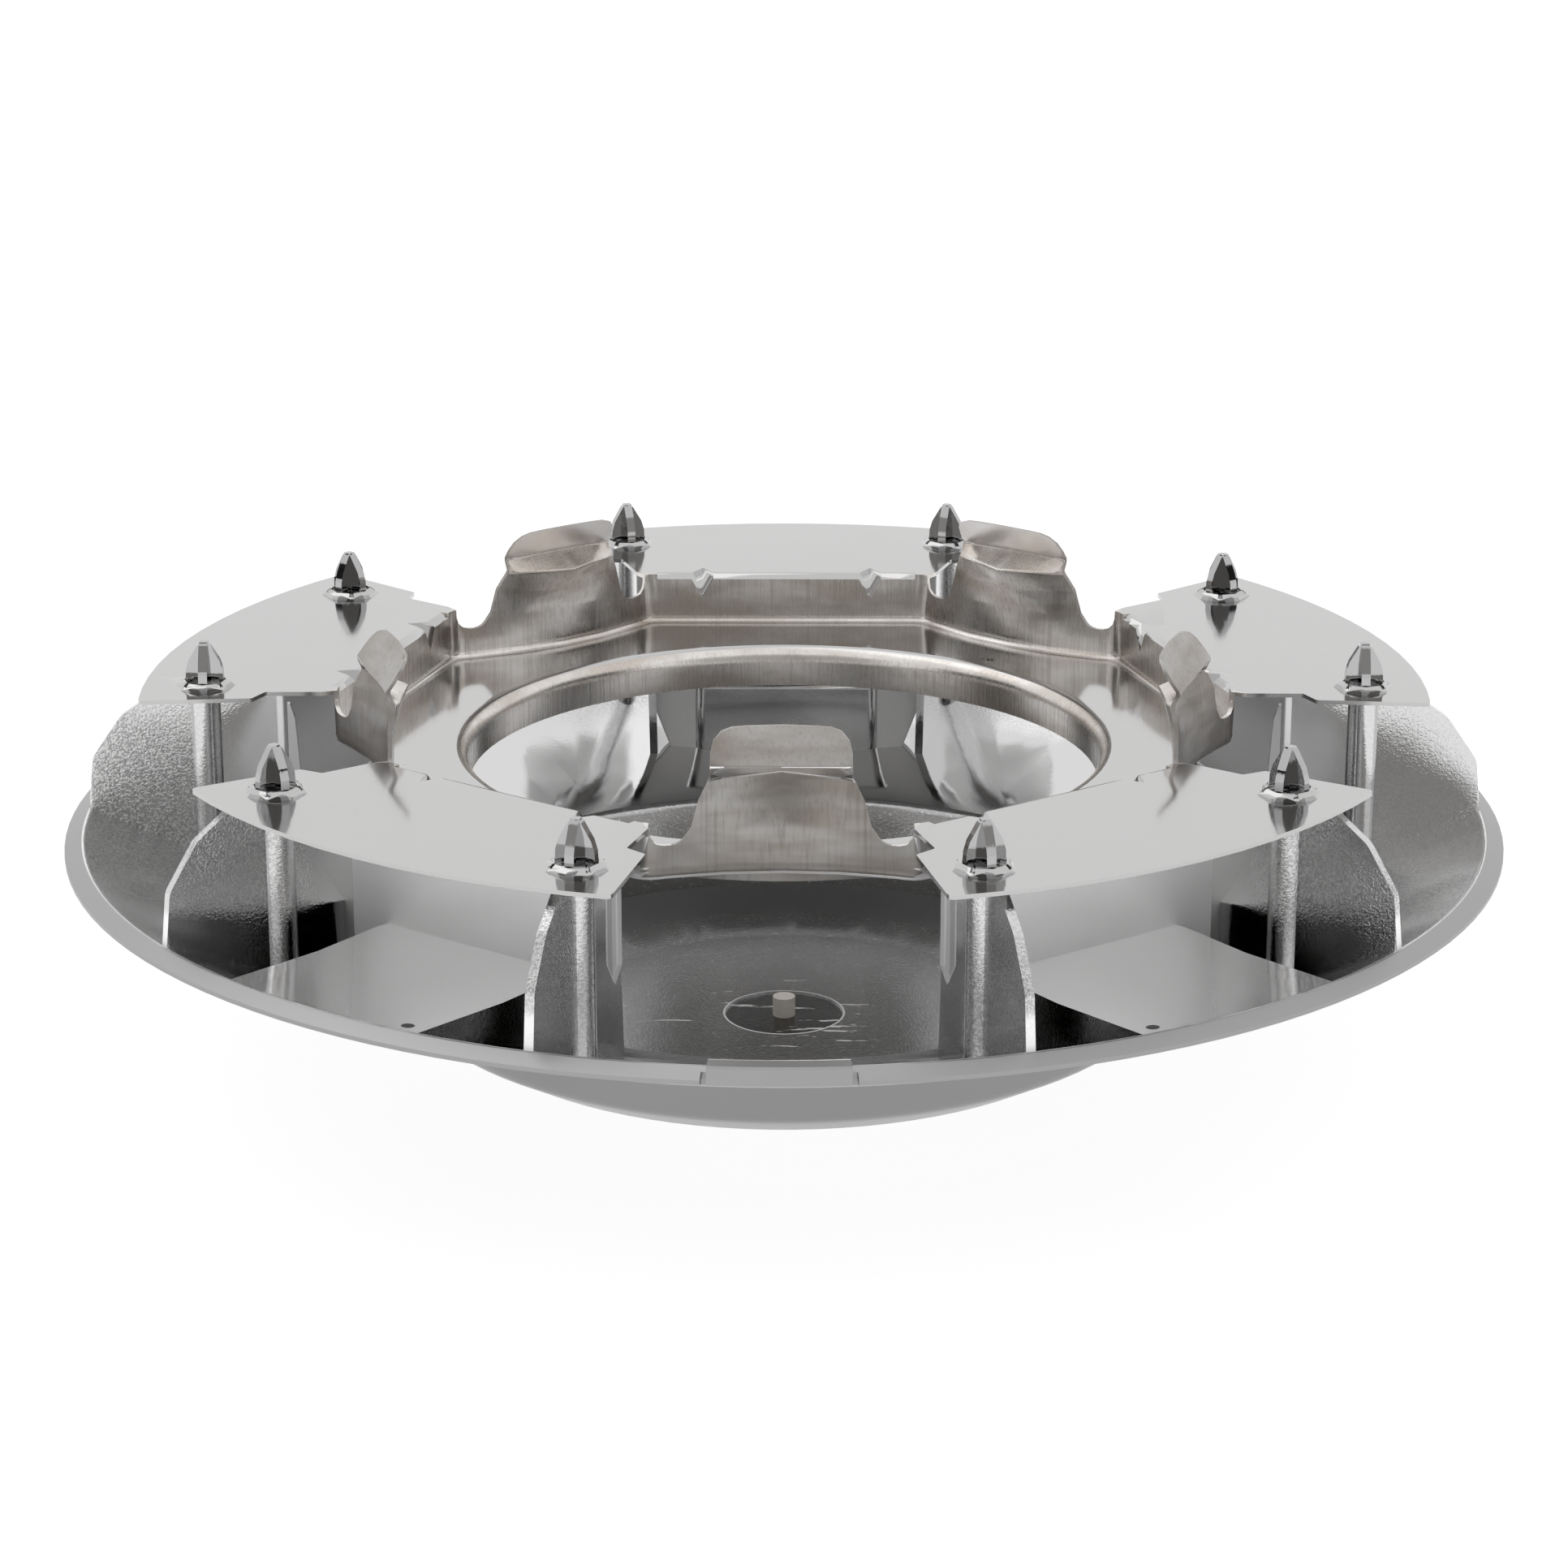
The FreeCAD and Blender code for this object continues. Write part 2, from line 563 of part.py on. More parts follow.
def make_clip():
    outside = pan_block(0, FLOOR_UNDER_Z, BEND_ROUND + SHEET)
    inside = pan_block(SHEET, FLOOR_TOP_Z, BEND_ROUND)
    added, removed = pad_bend()
    under_pads = Part.makeCylinder(BIG, PAD_TOP_Z - FLOOR_TOP_Z, at(0, FLOOR_TOP_Z))
    ribs = [rib.common(under_pads) for rib in darts(SHEET)]
    body = joined([outside] + around(pad_plate(), FIRST_PAD) + around(added, FIRST_PAD) + ribs)
    body = body.cut([inside] + around(removed, FIRST_PAD) + darts(0))
    body = body.cut([above_pads()] + around(finger_window(), FIRST_FINGER))
    lip, flat_r = hole_lip()
    gauge = Part.makeCylinder(GAUGE_HOLE_DIAMETER / 2, 3 * SHEET,
                              polar(GAUGE_HOLE_R, GAUGE_HOLE_ANGLE, FLOOR_UNDER_Z - SHEET))
    grip, post_hole = collar()
    holes = [turned(post_hole, angle) for angle in post_angles()]
    body = body.cut([Part.makeCylinder(flat_r, BIG, at(0, -BIG / 2)), gauge] + holes)
    body = body.fuse([lip] + [turned(grip, angle) for angle in post_angles()])
    return biggest_solid(body.removeSplitter())


def save(shape, name):
    shape.translate(AXIS * HUB_DEPTH)
    shape.exportStep(f"parts/{name}.step")
    box = shape.BoundBox
    print(name, "valid", shape.isValid(), "solids", len(shape.Solids), "volume", round(shape.Volume),
          "z", round(box.ZMin, 2), round(box.ZMax, 2), "x", round(box.XMin, 2), round(box.XMax, 2))


save(make_shell(), "cap_shell")
save(make_clip(), "retaining_clip")
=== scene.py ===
"""Looks of the wheel centre cap: chromed moulding and spring steel clip, face down in a white studio."""

import math

import bmesh
import bpy
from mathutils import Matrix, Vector


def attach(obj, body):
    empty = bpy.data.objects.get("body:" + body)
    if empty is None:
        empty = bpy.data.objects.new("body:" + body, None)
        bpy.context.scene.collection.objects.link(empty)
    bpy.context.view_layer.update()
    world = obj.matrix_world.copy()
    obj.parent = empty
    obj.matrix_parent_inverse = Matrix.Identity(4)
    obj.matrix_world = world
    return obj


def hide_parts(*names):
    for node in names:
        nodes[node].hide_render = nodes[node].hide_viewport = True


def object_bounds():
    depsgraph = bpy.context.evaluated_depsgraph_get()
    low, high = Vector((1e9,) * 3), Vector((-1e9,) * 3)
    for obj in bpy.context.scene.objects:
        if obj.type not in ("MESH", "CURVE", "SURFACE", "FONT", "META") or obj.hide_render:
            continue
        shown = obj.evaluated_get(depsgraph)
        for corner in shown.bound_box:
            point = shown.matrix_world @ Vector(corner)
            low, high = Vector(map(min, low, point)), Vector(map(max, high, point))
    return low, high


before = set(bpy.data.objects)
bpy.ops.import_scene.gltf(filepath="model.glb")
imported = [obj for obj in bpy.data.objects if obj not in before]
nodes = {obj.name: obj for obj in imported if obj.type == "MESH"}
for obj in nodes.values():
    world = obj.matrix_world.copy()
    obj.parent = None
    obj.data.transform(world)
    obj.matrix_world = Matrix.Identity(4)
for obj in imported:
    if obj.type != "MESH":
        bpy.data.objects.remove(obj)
cad_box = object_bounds()
CAP_LOW, CAP_HIGH = cad_box
RIM_R = (CAP_HIGH.x - CAP_LOW.x) / 2

# Camera, as worked out from the rim's outline in the photograph: metres, degrees, and a lens in millimetres
CAMERA_DISTANCE = 0.63273
CAMERA_ELEVATION = 18.136
CAMERA_SWING = 0.32
CAMERA_LENS = 98.56
CAMERA_FILM = 36
CAMERA_AIM = Vector((0, 0, 0.0392))

# Heights and radii of the moulding, in metres
RIM_PLANE = 0.0345
CUP_THROAT = RIM_PLANE - 0.0163
CUP_R = 0.0564
LAND_R = RIM_R - 0.0029
GATE_R = 0.00885
NUB_R = 0.0013
NUB_SPREAD = 1.45
POST_FOOT = RIM_PLANE + 0.0198
# The back skin's outline, as pairs of radius and height
BACK_SKIN = [(0, RIM_PLANE - 0.0313), (0.033, RIM_PLANE - 0.0313), (0.0545, RIM_PLANE - 0.0240),
             (CUP_R, CUP_THROAT), (0.0800, RIM_PLANE - 0.0080), (0.1025, RIM_PLANE + 0.0012),
             (RIM_R + 0.001, RIM_PLANE)]
# A pin mark on the roofs of the two front pockets, as distances from the cap's middle plane and axis
PIN_MARK = (0.0477, -0.0885)
PIN_MARK_R = 0.001
# Radii between which the grain of the back sets in, and the scratches round the gate fade
GRAIN_SPREAD = (0.076, 0.090)
SCRATCH_SPREAD = (0.012, 0.026)

# What tells the faces of the moulding apart: heights above and below its back skin, and the rise of a normal
NUB_SLACK = 0.0003
SKIN_SLACK = 0.0012
ROOF_LIFT = 0.001
ROOF_TOP = RIM_PLANE + 0.002
FACE_SIDE_RISE = -0.3
LEVEL_RISE = 0.9

# The support walls behind the pockets, with one half of their outline as pairs of half width and height
PAD_COUNT = 5
FIRST_PAD = math.radians(90)
PITCH = math.radians(360 / PAD_COUNT)
WALL_R = 0.069
WALL_THICK = 0.0012
WALL_EDGE_ROUND = 0.0002
WALL_OUTLINE = [(0.0243, RIM_PLANE + 0.0190), (0.0243, RIM_PLANE + 0.0026), (0.0186, RIM_PLANE - 0.0125)]

# Heights, radii and angles of the clip
PAN_FLOOR = RIM_PLANE + 0.012
VALLEY = RIM_PLANE + 0.0166
PAD_INNER_R = 0.068
PAD_HALF_ANGLE = math.radians(20)
FLOOR_SLACK = 0.0007
SKIRT_TOP = VALLEY + 0.0025
# How far a normal rises at most under the clip and on the skirts of its pads, and at least on the pads' bends
UNDERSIDE_RISE = -0.5
SKIRT_RISE = 0.3
BEND_RISE = 0.35
# Creases that are pressed across the fingers, at the waist and under the lobe, and the most they are rounded
FINGER_CREASES = (RIM_PLANE + 0.0251, RIM_PLANE + 0.0271)
CREASE_SLACK = 0.00005
CREASE_ANGLE = math.radians(12)
CREASE_ROUND = 0.0007

# How the copies of the CAD nodes are merged, and how wide their edges are broken before the overlap clamp
MERGE_DISTANCE = 2e-6
FLAT_ANGLE = math.radians(0.2)
MOULDING_SMOOTH = math.radians(40)
CLIP_SMOOTH = math.radians(65)
EDGE_ROUND = 0.00018
FLAT_WEIGHT = 80

# Greys of the moulding's chrome, and how far some of them cover it; the posts' grey is a painted dark
# reflection, the cup's grey painted shade and the land edge's grey a painted highlight
POST_DARK_REFLECTION_GREY = 0.45
CUP_SHADE_GREY = 0.4
SPECKLE_GREY = 0.12
SPECKLE_COVER = 0.5
DUST_GREY = 0.85
DUST_COVER = 0.6
LAND_GREY = 0.37
LAND_EDGE_HIGHLIGHT_GREY = 0.95
LAND_EDGE_HIGHLIGHT_COVER = 0.8
GATE_GREY = 0.06
GATE_COVER = 0.75
MARK_GREY = 0.01
SCRATCH_GREY = 0.85

# Tints of the steel, to be multiplied by its brightness
ROLLED_TINT = (1, 0.99, 0.985)
DRAWN_TINT = (1, 0.97, 0.94)
STAIN_TINT = (0.72, 0.65, 0.59)
LINE_TINT = (0.4, 0.36, 0.33)
RUST = (0.3, 0.24, 0.18, 1)

# The studio: sizes and places in metres
OBJECT_MIDDLE = (0, 0, 0.04)
FLOOR_GAP = 0.00005
FLOOR_REACH = 40 * RIM_R
FLOOR_GLOW = 0.89
PAPER_UNSEEN = 0.8
PAPER_SEEN = 0.4
WORLD_UNSEEN = 0.5
WARM_GREY = (0.42, 0.41, 0.4)
DARK = (0.02, 0.02, 0.02)


def grey(level):
    return (level, level, level, 1)


def tinted(shine, tint):
    return (*(shine * part for part in tint), 1)


def make_camera():
    data = bpy.data.cameras.new("camera")
    data.lens = CAMERA_LENS
    data.sensor_width = CAMERA_FILM
    camera = link_object("camera", data)
    up = math.radians(CAMERA_ELEVATION)
    side = math.radians(CAMERA_SWING)
    back = Vector((math.sin(side) * math.cos(up), -math.cos(side) * math.cos(up), math.sin(up)))
    camera.location = CAMERA_AIM + back * CAMERA_DISTANCE
    camera.rotation_mode = "QUATERNION"
    camera.rotation_quaternion = (-back).to_track_quat("-Z", "Y")
    bpy.context.scene.camera = camera


class Value:
    """A socket in a node tree, so that shader maths reads as plain expressions."""

    def __init__(self, tree, socket):
        self.tree = tree
        self.socket = socket

    def maths(self, operation, *others, first=None):
        node = self.tree.nodes.new("ShaderNodeMath")
        node.operation = operation
        inputs = [first if first is not None else self, *others]
        for place, item in enumerate(inputs):
            plug(self.tree, node.inputs[place], item)
        return Value(self.tree, node.outputs[0])

    def __add__(self, other):
        return self.maths("ADD", other)

    def __radd__(self, other):
        return self.maths("ADD", self, first=other)

    def __sub__(self, other):
        return self.maths("SUBTRACT", other)

    def __rsub__(self, other):
        return self.maths("SUBTRACT", self, first=other)

    def __mul__(self, other):
        return self.maths("MULTIPLY", other)

    def __pow__(self, other):
        return self.maths("POWER", other)

    def between(self, low, high):
        """0 below low, 1 above high, smooth from one to the other."""
        node = self.tree.nodes.new("ShaderNodeMapRange")
        node.interpolation_type = "SMOOTHSTEP"
        plug(self.tree, node.inputs["Value"], self)
        plug(self.tree, node.inputs["From Min"], low)
        plug(self.tree, node.inputs["From Max"], high)
        return Value(self.tree, node.outputs["Result"])

    def band(self, low, full, end, gone):
        """0 below low, 1 from full to end, and 0 again above gone."""
        return self.between(low, full) * (1 - self.between(end, gone))

    def part(self, name):
        """One of X, Y and Z of a vector."""
        node = self.tree.nodes.new("ShaderNodeSeparateXYZ")
        plug(self.tree, node.inputs[0], self)
        return Value(self.tree, node.outputs[name])


def plug(tree, socket, item):
    if isinstance(item, Value):
        tree.links.new(item.socket, socket)
    elif item is not None:
        socket.default_value = item


def seen_by_eye(tree):
    """1 where a ray comes straight from the eye, by way of a mirror or through glass, else 0."""
    path = tree.nodes.new("ShaderNodeLightPath")
    straight = Value(tree, path.outputs["Is Camera Ray"])
    mirrored = Value(tree, path.outputs["Is Glossy Ray"])
    through = Value(tree, path.outputs["Is Transmission Ray"])
    return straight.maths("MAXIMUM", mirrored).maths("MAXIMUM", through)


class Finish:
    """A material that is being made."""

    def __init__(self, name):
        self.material = bpy.data.materials.new(name)
        self.material.use_nodes = True
        self.tree = self.material.node_tree
        self.tree.nodes.clear()
        self.place = self.node("ShaderNodeTexCoord", output="Object")

    def node(self, kind, output=0, **sockets):
        """Adds a node and fills its sockets, named with _ for a space."""
        made = self.tree.nodes.new(kind)
        for name, item in sockets.items():
            plug(self.tree, made.inputs[name.replace("_", " ")], item)
        return Value(self.tree, made.outputs[output])

    def noise(self, scale, detail=2.0, roughness=0.5, place=None):
        return self.node("ShaderNodeTexNoise", Vector=place or self.place, Scale=scale, Detail=detail,
                         Roughness=roughness)

    def stretched(self, x, y, z):
        return self.node("ShaderNodeMapping", Vector=self.place, Scale=(x, y, z))

    def mix(self, factor, first, second):
        made = self.tree.nodes.new("ShaderNodeMix")
        made.data_type = "RGBA"
        plug(self.tree, made.inputs[0], factor)
        plug(self.tree, made.inputs[6], first)
        plug(self.tree, made.inputs[7], second)
        return Value(self.tree, made.outputs[2])

    def bump(self, height, strength, distance, onto=None):
        return self.node("ShaderNodeBump", Height=height, Strength=strength, Distance=distance, Normal=onto)

    def radius(self):
        """Distance from the cap's axis."""
        x = self.place.part("X")
        y = self.place.part("Y")
        return (x * x + y * y) ** 0.5

    def finish(self, **sockets):
        shader = self.node("ShaderNodeBsdfPrincipled", output="BSDF", **sockets)
        out = self.tree.nodes.new("ShaderNodeOutputMaterial")
        self.tree.links.new(shader.socket, out.inputs["Surface"])
        return self.material


def chrome_back(name, shine, graininess):
    """Chrome on the moulding's back: a mirror, grained towards the rim and in the hub cup."""
    f = Finish(name)
    r = f.radius()
    x = f.place.part("X")
    y = f.place.part("Y")
    height = f.place.part("Z")

    # Where the parts of the back are
    land = r.between(LAND_R, LAND_R + 0.0004)
    # A painted highlight: a thin near-white band round the inner edge of the rim land, where a rounded edge
    # would catch the light
    land_edge_highlight = r.band(LAND_R - 0.0002, LAND_R, LAND_R + 0.0003, LAND_R + 0.0005)
    on_posts = height.between(POST_FOOT, POST_FOOT + 0.0005)
    below_posts = 1 - height.between(POST_FOOT - 0.001, POST_FOOT)
    in_cup = 1 - height.between(CUP_THROAT - 0.001, CUP_THROAT + 0.0015)
    gate = 1 - r.between(GATE_R, GATE_R + 0.00004)
    gate_edge = r.band(GATE_R - 0.0001, GATE_R, GATE_R + 0.0002, GATE_R + 0.0004)
    near_gate = 1 - r.between(*SCRATCH_SPREAD)
    mark_x = x.maths("ABSOLUTE") - PIN_MARK[0]
    mark_y = y - PIN_MARK[1]
    from_mark = (mark_x * mark_x + mark_y * mark_y) ** 0.5
    mark = 1 - from_mark.between(0.8 * PIN_MARK_R, PIN_MARK_R)

    # What the skin is like there, with painted shade, a painted reflection and a painted highlight among the
    # layers
    patches = f.noise(scale=28).between(0.4, 0.6) * 0.8 + 0.2
    outward = r.between(*GRAIN_SPREAD) * (1 - land) * below_posts * patches * graininess
    speckle = f.noise(scale=2600, detail=3.0, roughness=0.8).between(0.44, 0.56)
    dust = f.noise(scale=2000, roughness=0.6).between(0.62, 0.66)
    along = f.stretched(0.25, 1.6, 1)
    scratches = f.noise(scale=300, detail=4.0, roughness=0.65, place=along).between(0.62, 0.66)
    scratched = gate_edge.maths("MAXIMUM", scratches * near_gate) * in_cup
    layers = [
        # Painted reflection: the posts' chrome is painted darker for the dark surroundings they reflect
        (on_posts, POST_DARK_REFLECTION_GREY),
        # Painted shade: the chrome in the hub cup is painted darker, as the recess lies in shade
        (in_cup, CUP_SHADE_GREY),
        (outward * speckle * SPECKLE_COVER, SPECKLE_GREY),
        (in_cup * dust * DUST_COVER, DUST_GREY),
        (land, LAND_GREY),
        (land_edge_highlight * LAND_EDGE_HIGHLIGHT_COVER, LAND_EDGE_HIGHLIGHT_GREY),
        (gate * in_cup * GATE_COVER, GATE_GREY),
        (mark, MARK_GREY),
        (scratched, SCRATCH_GREY),
    ]
    colour = grey(shine)
    for cover, level in layers:
        colour = f.mix(cover, colour, grey(level))

    waves = f.noise(scale=70, detail=1.0)
    grain = f.noise(scale=2600, roughness=0.7) * (0.03 + in_cup * 0.3 + outward)
    bumps = f.bump(waves, strength=0.2, distance=0.0006)
    bumps = f.bump(grain, strength=0.8, distance=0.00013, onto=bumps)
    rough = 0.05 + in_cup * 0.09 + land * 0.33 + scratched * 0.3
    return f.finish(Base_Color=colour, Metallic=1.0, Roughness=rough, Normal=bumps)


def satin_chrome(name, colour, least_rough, unevenness):
    """Chrome over a finely blasted surface of the mould."""
    f = Finish(name)
    haze = f.noise(scale=60) * unevenness + least_rough
    return f.finish(Base_Color=colour, Metallic=1.0, Roughness=haze)


def bare_nub():
    """Bare plastic where the moulding was snapped off its gate."""
    f = Finish("bare_nub")
    colour = f.mix(f.noise(scale=900), (0.75, 0.68, 0.6, 1), (0.92, 0.87, 0.81, 1))
    return f.finish(Base_Color=colour, Metallic=0.0, Roughness=0.5)


def flat_steel(name, shine, least_rough):
    """Bright rolled sheet, finely scratched and specked."""
    f = Finish(name)
    rolled = f.stretched(1, 0.15, 1)
    scratches = f.noise(scale=420, detail=5.0, roughness=0.7, place=rolled).between(0.6, 0.75)
    specks = f.noise(scale=700, detail=3.0, roughness=0.7).between(0.7, 0.76)
    colour = f.mix(specks * 0.4, tinted(shine, ROLLED_TINT), RUST)
    bumps = f.bump(f.noise(scale=60, detail=1.0), strength=0.15, distance=0.0006)
    rough = scratches * 0.12 + least_rough
    return f.finish(Base_Color=colour, Metallic=1.0, Roughness=rough, Normal=bumps)


def drawn_steel(name, shine, least_rough):
    """The same sheet where it was drawn upright: faint lines along the draw and a warm stain."""
    f = Finish(name)
    drawn = f.stretched(1, 1, 0.015)
    lines = f.noise(scale=2200, roughness=0.6, place=drawn)
    across = f.stretched(0.7, 0.7, 2.5)
    stain = f.noise(scale=70, detail=3.0, roughness=0.6, place=across).between(0.35, 0.65)
    colour = f.mix(stain, tinted(shine, DRAWN_TINT), tinted(shine, STAIN_TINT))
    colour = f.mix(lines.between(0.5, 0.7) * 0.2, colour, tinted(shine, LINE_TINT))
    bumps = f.bump(lines, strength=0.35, distance=0.00006)
    bumps = f.bump(f.noise(scale=60, detail=1.0), strength=0.2, distance=0.0006, onto=bumps)
    rough = lines * 0.2 + least_rough
    return f.finish(Base_Color=colour, Metallic=1.0, Roughness=rough, Normal=bumps)


def skin_height(r):
    """Height of the back skin at a radius."""
    pairs = zip(BACK_SKIN, BACK_SKIN[1:])
    (r0, z0), (r1, z1) = next(pair for pair in pairs if r <= pair[1][0])
    return z0 + (z1 - z0) * (r - r0) / (r1 - r0)


def moulding_slot(face):
    """0 for the back, 1 for the face side, 2 for the bare nub and 3 for the pockets' roofs, which are painted
    lighter as painted light.
    """
    middle = face.calc_center_median()
    r = math.hypot(middle.x, middle.y)
    height = skin_height(r)
    if r < NUB_R and middle.z > height - NUB_SLACK:
        return 2
    if face.normal.z < FACE_SIDE_RISE or middle.z < height - SKIN_SLACK:
        return 1
    if face.normal.z > LEVEL_RISE and r > CUP_R and height + ROOF_LIFT < middle.z < ROOF_TOP:
        return 3
    return 0


def clip_slot(face):
    """0 for the clip's flats, 1 for what is seen under the pads (painted lighter), 2 for upright parts inside
    (painted lighter), 3 outside (painted darker).
    """
    middle = face.calc_center_median()
    from_pad = (math.atan2(middle.y, middle.x) - FIRST_PAD + PITCH / 2) % PITCH - PITCH / 2
    at_pad = abs(from_pad) < PAD_HALF_ANGLE
    outside = face.normal.x * middle.x + face.normal.y * middle.y > 0
    rise = face.normal.z
    if rise < UNDERSIDE_RISE or outside and at_pad and middle.z < SKIRT_TOP and rise < SKIRT_RISE:
        return 1
    if math.hypot(middle.x, middle.y) > PAD_INNER_R or at_pad and middle.z > VALLEY and rise > BEND_RISE:
        return 0
    if rise > LEVEL_RISE and abs(middle.z - PAN_FLOOR) < FLOOR_SLACK:
        return 0
    return 3 if outside else 2


def widen_nub(shape):
    """Spreads the nub in the gate to the width that the photograph shows: the CAD one is narrower."""
    nub = [vert for vert in shape.verts if math.hypot(vert.co.x, vert.co.y) < NUB_R]
    bmesh.ops.scale(shape, vec=(NUB_SPREAD, NUB_SPREAD, 1), verts=nub)


def round_creases(shape):
    """Rounds the pressed creases across the fingers, at the waist and under the lobe."""
    for height in FINGER_CREASES:
        creases = [edge for edge in shape.edges
                   if all(abs(vert.co.z - height) < CREASE_SLACK for vert in edge.verts)
                   and edge.calc_face_angle(0) > CREASE_ANGLE]
        bmesh.ops.bevel(shape, geom=creases, offset=CREASE_ROUND, offset_type="OFFSET", segments=3,
                        profile=0.5, affect="EDGES", clamp_overlap=True, material=-1)
    for face in shape.faces:
        face.smooth = True


def link_object(name, mesh):
    made = bpy.data.objects.new(name, mesh)
    bpy.context.scene.collection.objects.link(made)
    return made


def object_of(name, shape):
    """An object of that name whose mesh is the given bmesh, which is freed."""
    mesh = bpy.data.meshes.new(name)
    shape.to_mesh(mesh)
    shape.free()
    return link_object(name, mesh)


def finished_copy(node_name, materials, slot_of, reshape, smooth_angle, edge_slot=-1):
    """A merged copy of a CAD node, that stands for it. The overlap clamp keeps its broken edges thin."""
    mesh = nodes[node_name].data.copy()
    mesh.name = node_name + "_finished"
    mesh.materials.clear()
    shape = bmesh.new()
    shape.from_mesh(mesh)
    bmesh.ops.remove_doubles(shape, verts=shape.verts, dist=MERGE_DISTANCE)
    shape.normal_update()
    for face in shape.faces:
        face.smooth = True
        face.material_index = slot_of(face)
    bmesh.ops.dissolve_limit(shape, angle_limit=FLAT_ANGLE, verts=shape.verts, edges=shape.edges,
                             delimit={"MATERIAL"})
    reshape(shape)
    shape.to_mesh(mesh)
    shape.free()
    for material in materials:
        mesh.materials.append(material)
    mesh.set_sharp_from_angle(angle=smooth_angle)
    piece = link_object(node_name + "_finished", mesh)
    edges = piece.modifiers.new("broken_edges", "BEVEL")
    edges.width = EDGE_ROUND
    edges.segments = 2
    edges.material = edge_slot
    edges.limit_method = "ANGLE"
    edges.angle_limit = smooth_angle
    edges.use_clamp_overlap = True
    flats = piece.modifiers.new("flat_flats", "WEIGHTED_NORMAL")
    flats.keep_sharp = True
    flats.weight = FLAT_WEIGHT
    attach(piece, "root")
    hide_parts(node_name)


def add_support_walls(material):
    """Flat walls of the moulding that stand on the dish behind the pockets, under the clip's pads."""
    shape = bmesh.new()
    for number in range(PAD_COUNT):
        turn = FIRST_PAD + number * PITCH
        out = Vector((math.cos(turn), math.sin(turn), 0))
        side = Vector((-math.sin(turn), math.cos(turn), 0))
        right = [out * WALL_R + side * half + Vector((0, 0, height)) for half, height in WALL_OUTLINE]
        left = [out * WALL_R - side * half + Vector((0, 0, height)) for half, height in WALL_OUTLINE]
        plate = shape.faces.new([shape.verts.new(place) for place in right + left[::-1]])
        grown = bmesh.ops.extrude_face_region(shape, geom=[plate])["geom"]
        moved = [item for item in grown if isinstance(item, bmesh.types.BMVert)]
        bmesh.ops.translate(shape, vec=out * WALL_THICK, verts=moved)
    bmesh.ops.recalc_face_normals(shape, faces=shape.faces)
    bmesh.ops.bevel(shape, geom=shape.edges[:], offset=WALL_EDGE_ROUND, offset_type="OFFSET", segments=2,
                    profile=0.5, affect="EDGES", clamp_overlap=True, material=-1)
    walls = object_of("pad_support_walls", shape)
    walls.data.materials.append(material)
    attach(walls, "root")


def make_floor():
    shape = bmesh.new()
    bmesh.ops.create_grid(shape, x_segments=1, y_segments=1, size=FLOOR_REACH)
    floor = object_of("studio_floor", shape)
    floor.location.z = CAP_LOW.z - FLOOR_GAP
    f = Finish("studio_floor")
    shown = seen_by_eye(f.tree)
    glow = f.mix(shown, grey(0), grey(FLOOR_GLOW))
    paper = f.mix(shown, grey(PAPER_UNSEEN), grey(PAPER_SEEN))
    floor.data.materials.append(f.finish(Base_Color=paper, Roughness=1.0, Specular_IOR_Level=0.0,
                                         Emission_Color=glow, Emission_Strength=1.0))


def make_world():
    world = bpy.data.worlds.new("studio")
    bpy.context.scene.world = world
    world.use_nodes = True
    tree = world.node_tree
    tree.nodes.clear()
    back = tree.nodes.new("ShaderNodeBackground")
    back.inputs["Color"].default_value = grey(1)
    plug(tree, back.inputs["Strength"], seen_by_eye(tree) * (1 - WORLD_UNSEEN) + WORLD_UNSEEN)
    out = tree.nodes.new("ShaderNodeOutputWorld")
    tree.links.new(back.outputs[0], out.inputs["Surface"])


def turn_to(thing, place, aim):
    """Puts a lamp or a card at a place and turns it to its aim."""
    thing.location = place
    thing.rotation_mode = "QUATERNION"
    thing.rotation_quaternion = (Vector(aim) - Vector(place)).to_track_quat("-Z", "Y")


def add_light(name, size, power, place):
    data = bpy.data.lights.new(name, "AREA")
    data.shape = "RECTANGLE"
    data.size, data.size_y = size
    data.energy = power
    light = link_object(name, data)
    turn_to(light, place, OBJECT_MIDDLE)


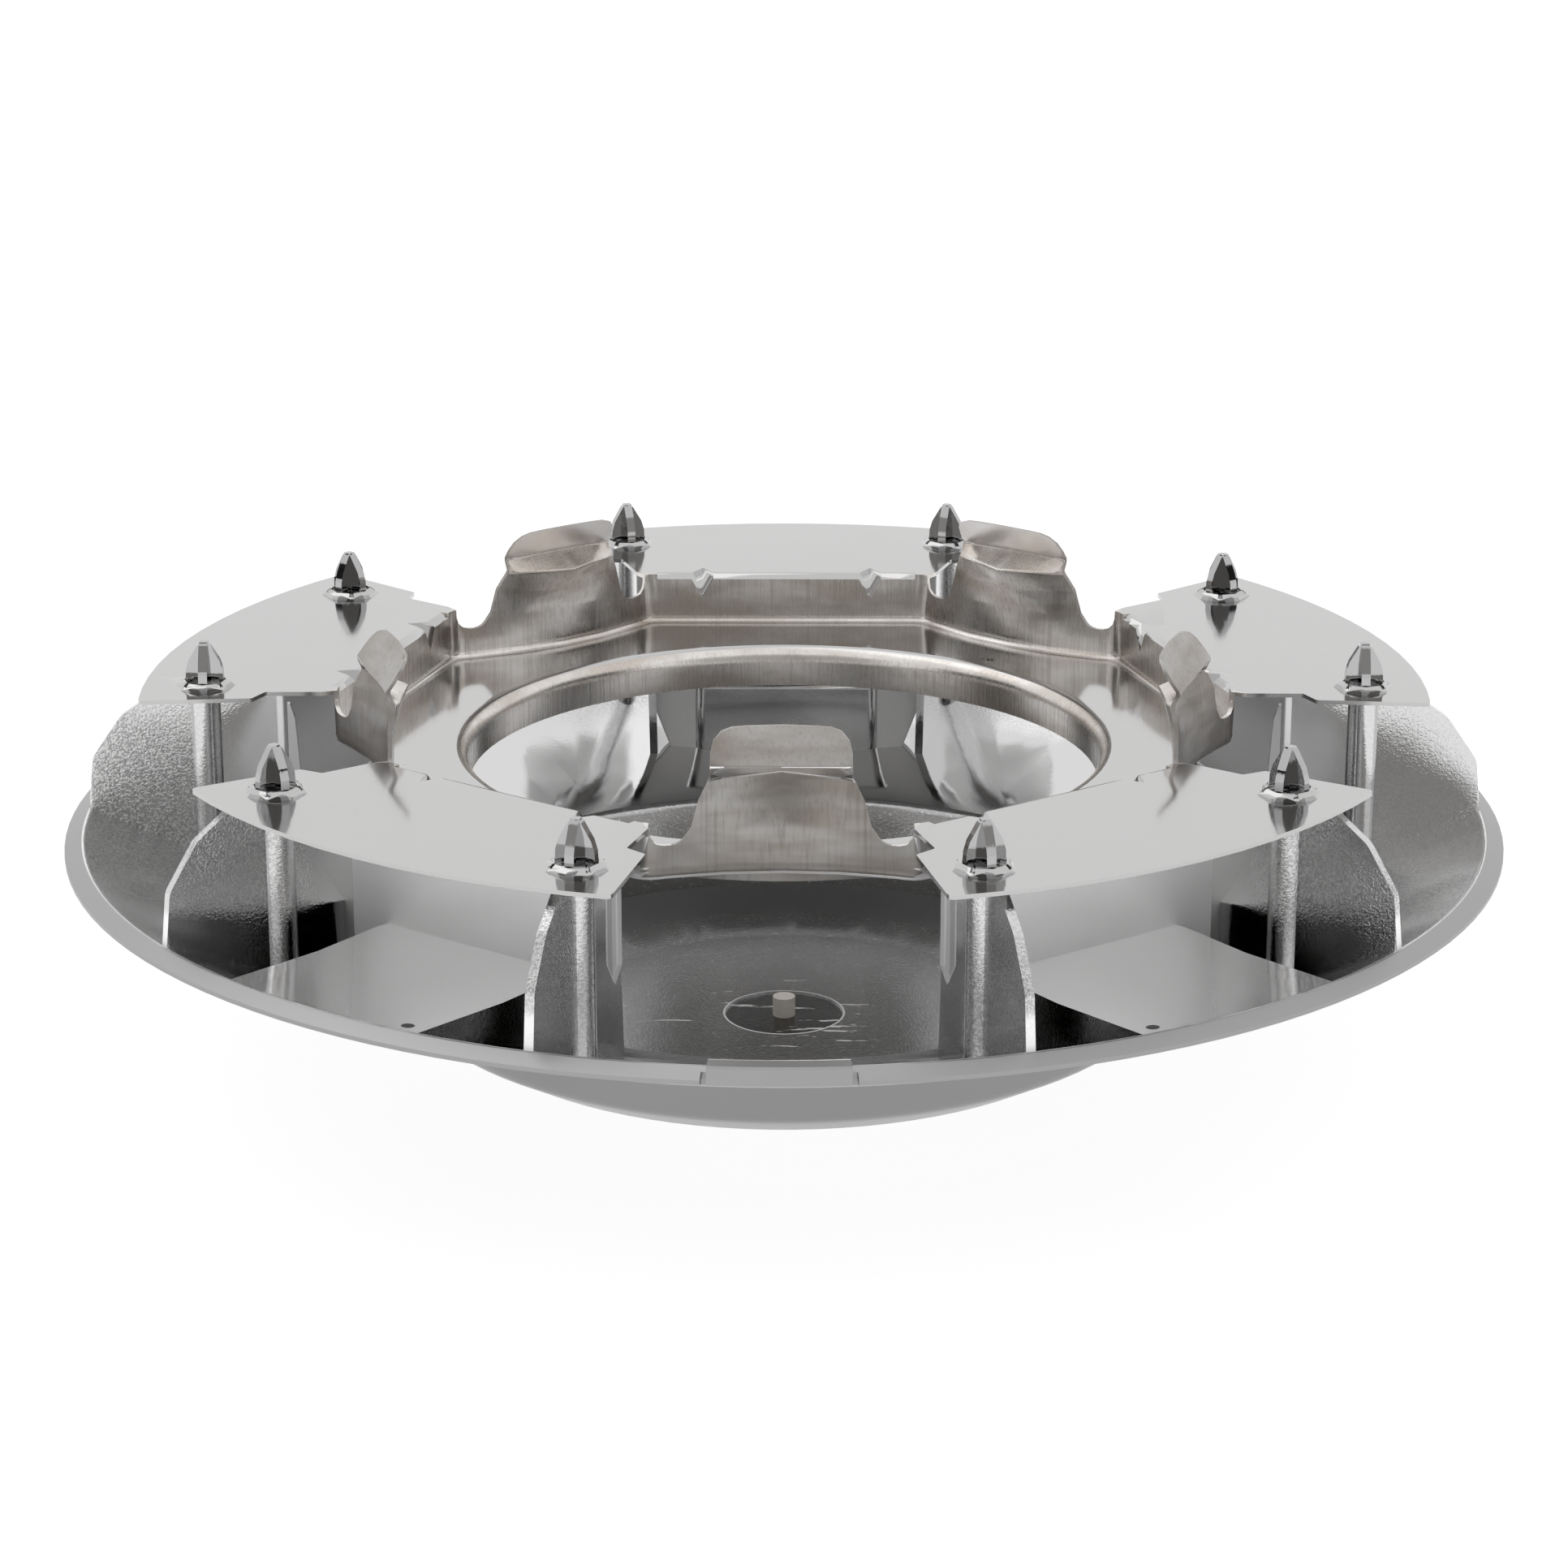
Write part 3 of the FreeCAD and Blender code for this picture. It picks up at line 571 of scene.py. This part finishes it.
def add_card(name, size, place, colour):
    """A studio card that the metal reflects, out of the camera's sight."""
    shape = bmesh.new()
    bmesh.ops.create_grid(shape, x_segments=1, y_segments=1, size=0.5)
    bmesh.ops.scale(shape, vec=(*size, 1), verts=shape.verts)
    card = object_of(name, shape)
    turn_to(card, place, OBJECT_MIDDLE)
    card.visible_camera = False
    f = Finish(name)
    card.data.materials.append(f.finish(Base_Color=grey(0), Roughness=1.0, Specular_IOR_Level=0.0,
                                        Emission_Color=(*colour, 1), Emission_Strength=1.0))


bpy.context.scene.view_settings.view_transform = "Standard"
make_camera()
make_world()
make_floor()
add_light("top_softbox", size=(1.0, 0.8), power=1.5, place=(-0.5, 0.5, 1.2))
add_card("grey_front_card", size=(2.4, 1.2), place=(0, -1.5, 0.85), colour=WARM_GREY)
add_card("dark_left_card", size=(1.0, 0.5), place=(-1.4, -0.2, 0.5), colour=DARK)
add_card("dark_right_card", size=(1.0, 0.5), place=(1.4, -0.2, 0.5), colour=DARK)

shell_finishes = [
    chrome_back("chrome_back", shine=0.68, graininess=1.0),
    satin_chrome("chrome_face", colour=(0.3, 0.3, 0.305, 1), least_rough=0.28, unevenness=0.05),
    bare_nub(),
    # Painted light: the pockets' roofs take a lighter copy of the back's chrome, their bright reflections
    # painted into the colour
    chrome_back("chrome_roof_painted_light", shine=0.98, graininess=0.05),
]
finished_copy("cap_shell", shell_finishes, moulding_slot, widen_nub, MOULDING_SMOOTH)
# Painted light: the support walls' chrome is painted near white for the bright light they reflect
add_support_walls(satin_chrome("satin_chrome", colour=grey(0.98), least_rough=0.52, unevenness=0.06))
clip_finishes = [
    flat_steel("flat_steel", shine=0.52, least_rough=0.1),
    # Painted light: the steel seen under the pads is a lighter copy of the flat steel, for the bright floor
    # it reflects there
    flat_steel("flat_steel_underside_painted_light", shine=0.98, least_rough=0.3),
    # Painted light and shade: the upright steel inside is a lighter copy, and the upright steel outside a
    # darker copy, of the same drawn steel
    drawn_steel("drawn_steel", shine=0.76, least_rough=0.17),
    drawn_steel("drawn_steel_outside_painted_shade", shine=0.42, least_rough=0.25),
]
# The clip's broken edges take slot 1, the lighter steel, as a painted highlight along them
finished_copy("retaining_clip", clip_finishes, clip_slot, round_creases, CLIP_SMOOTH, edge_slot=1)
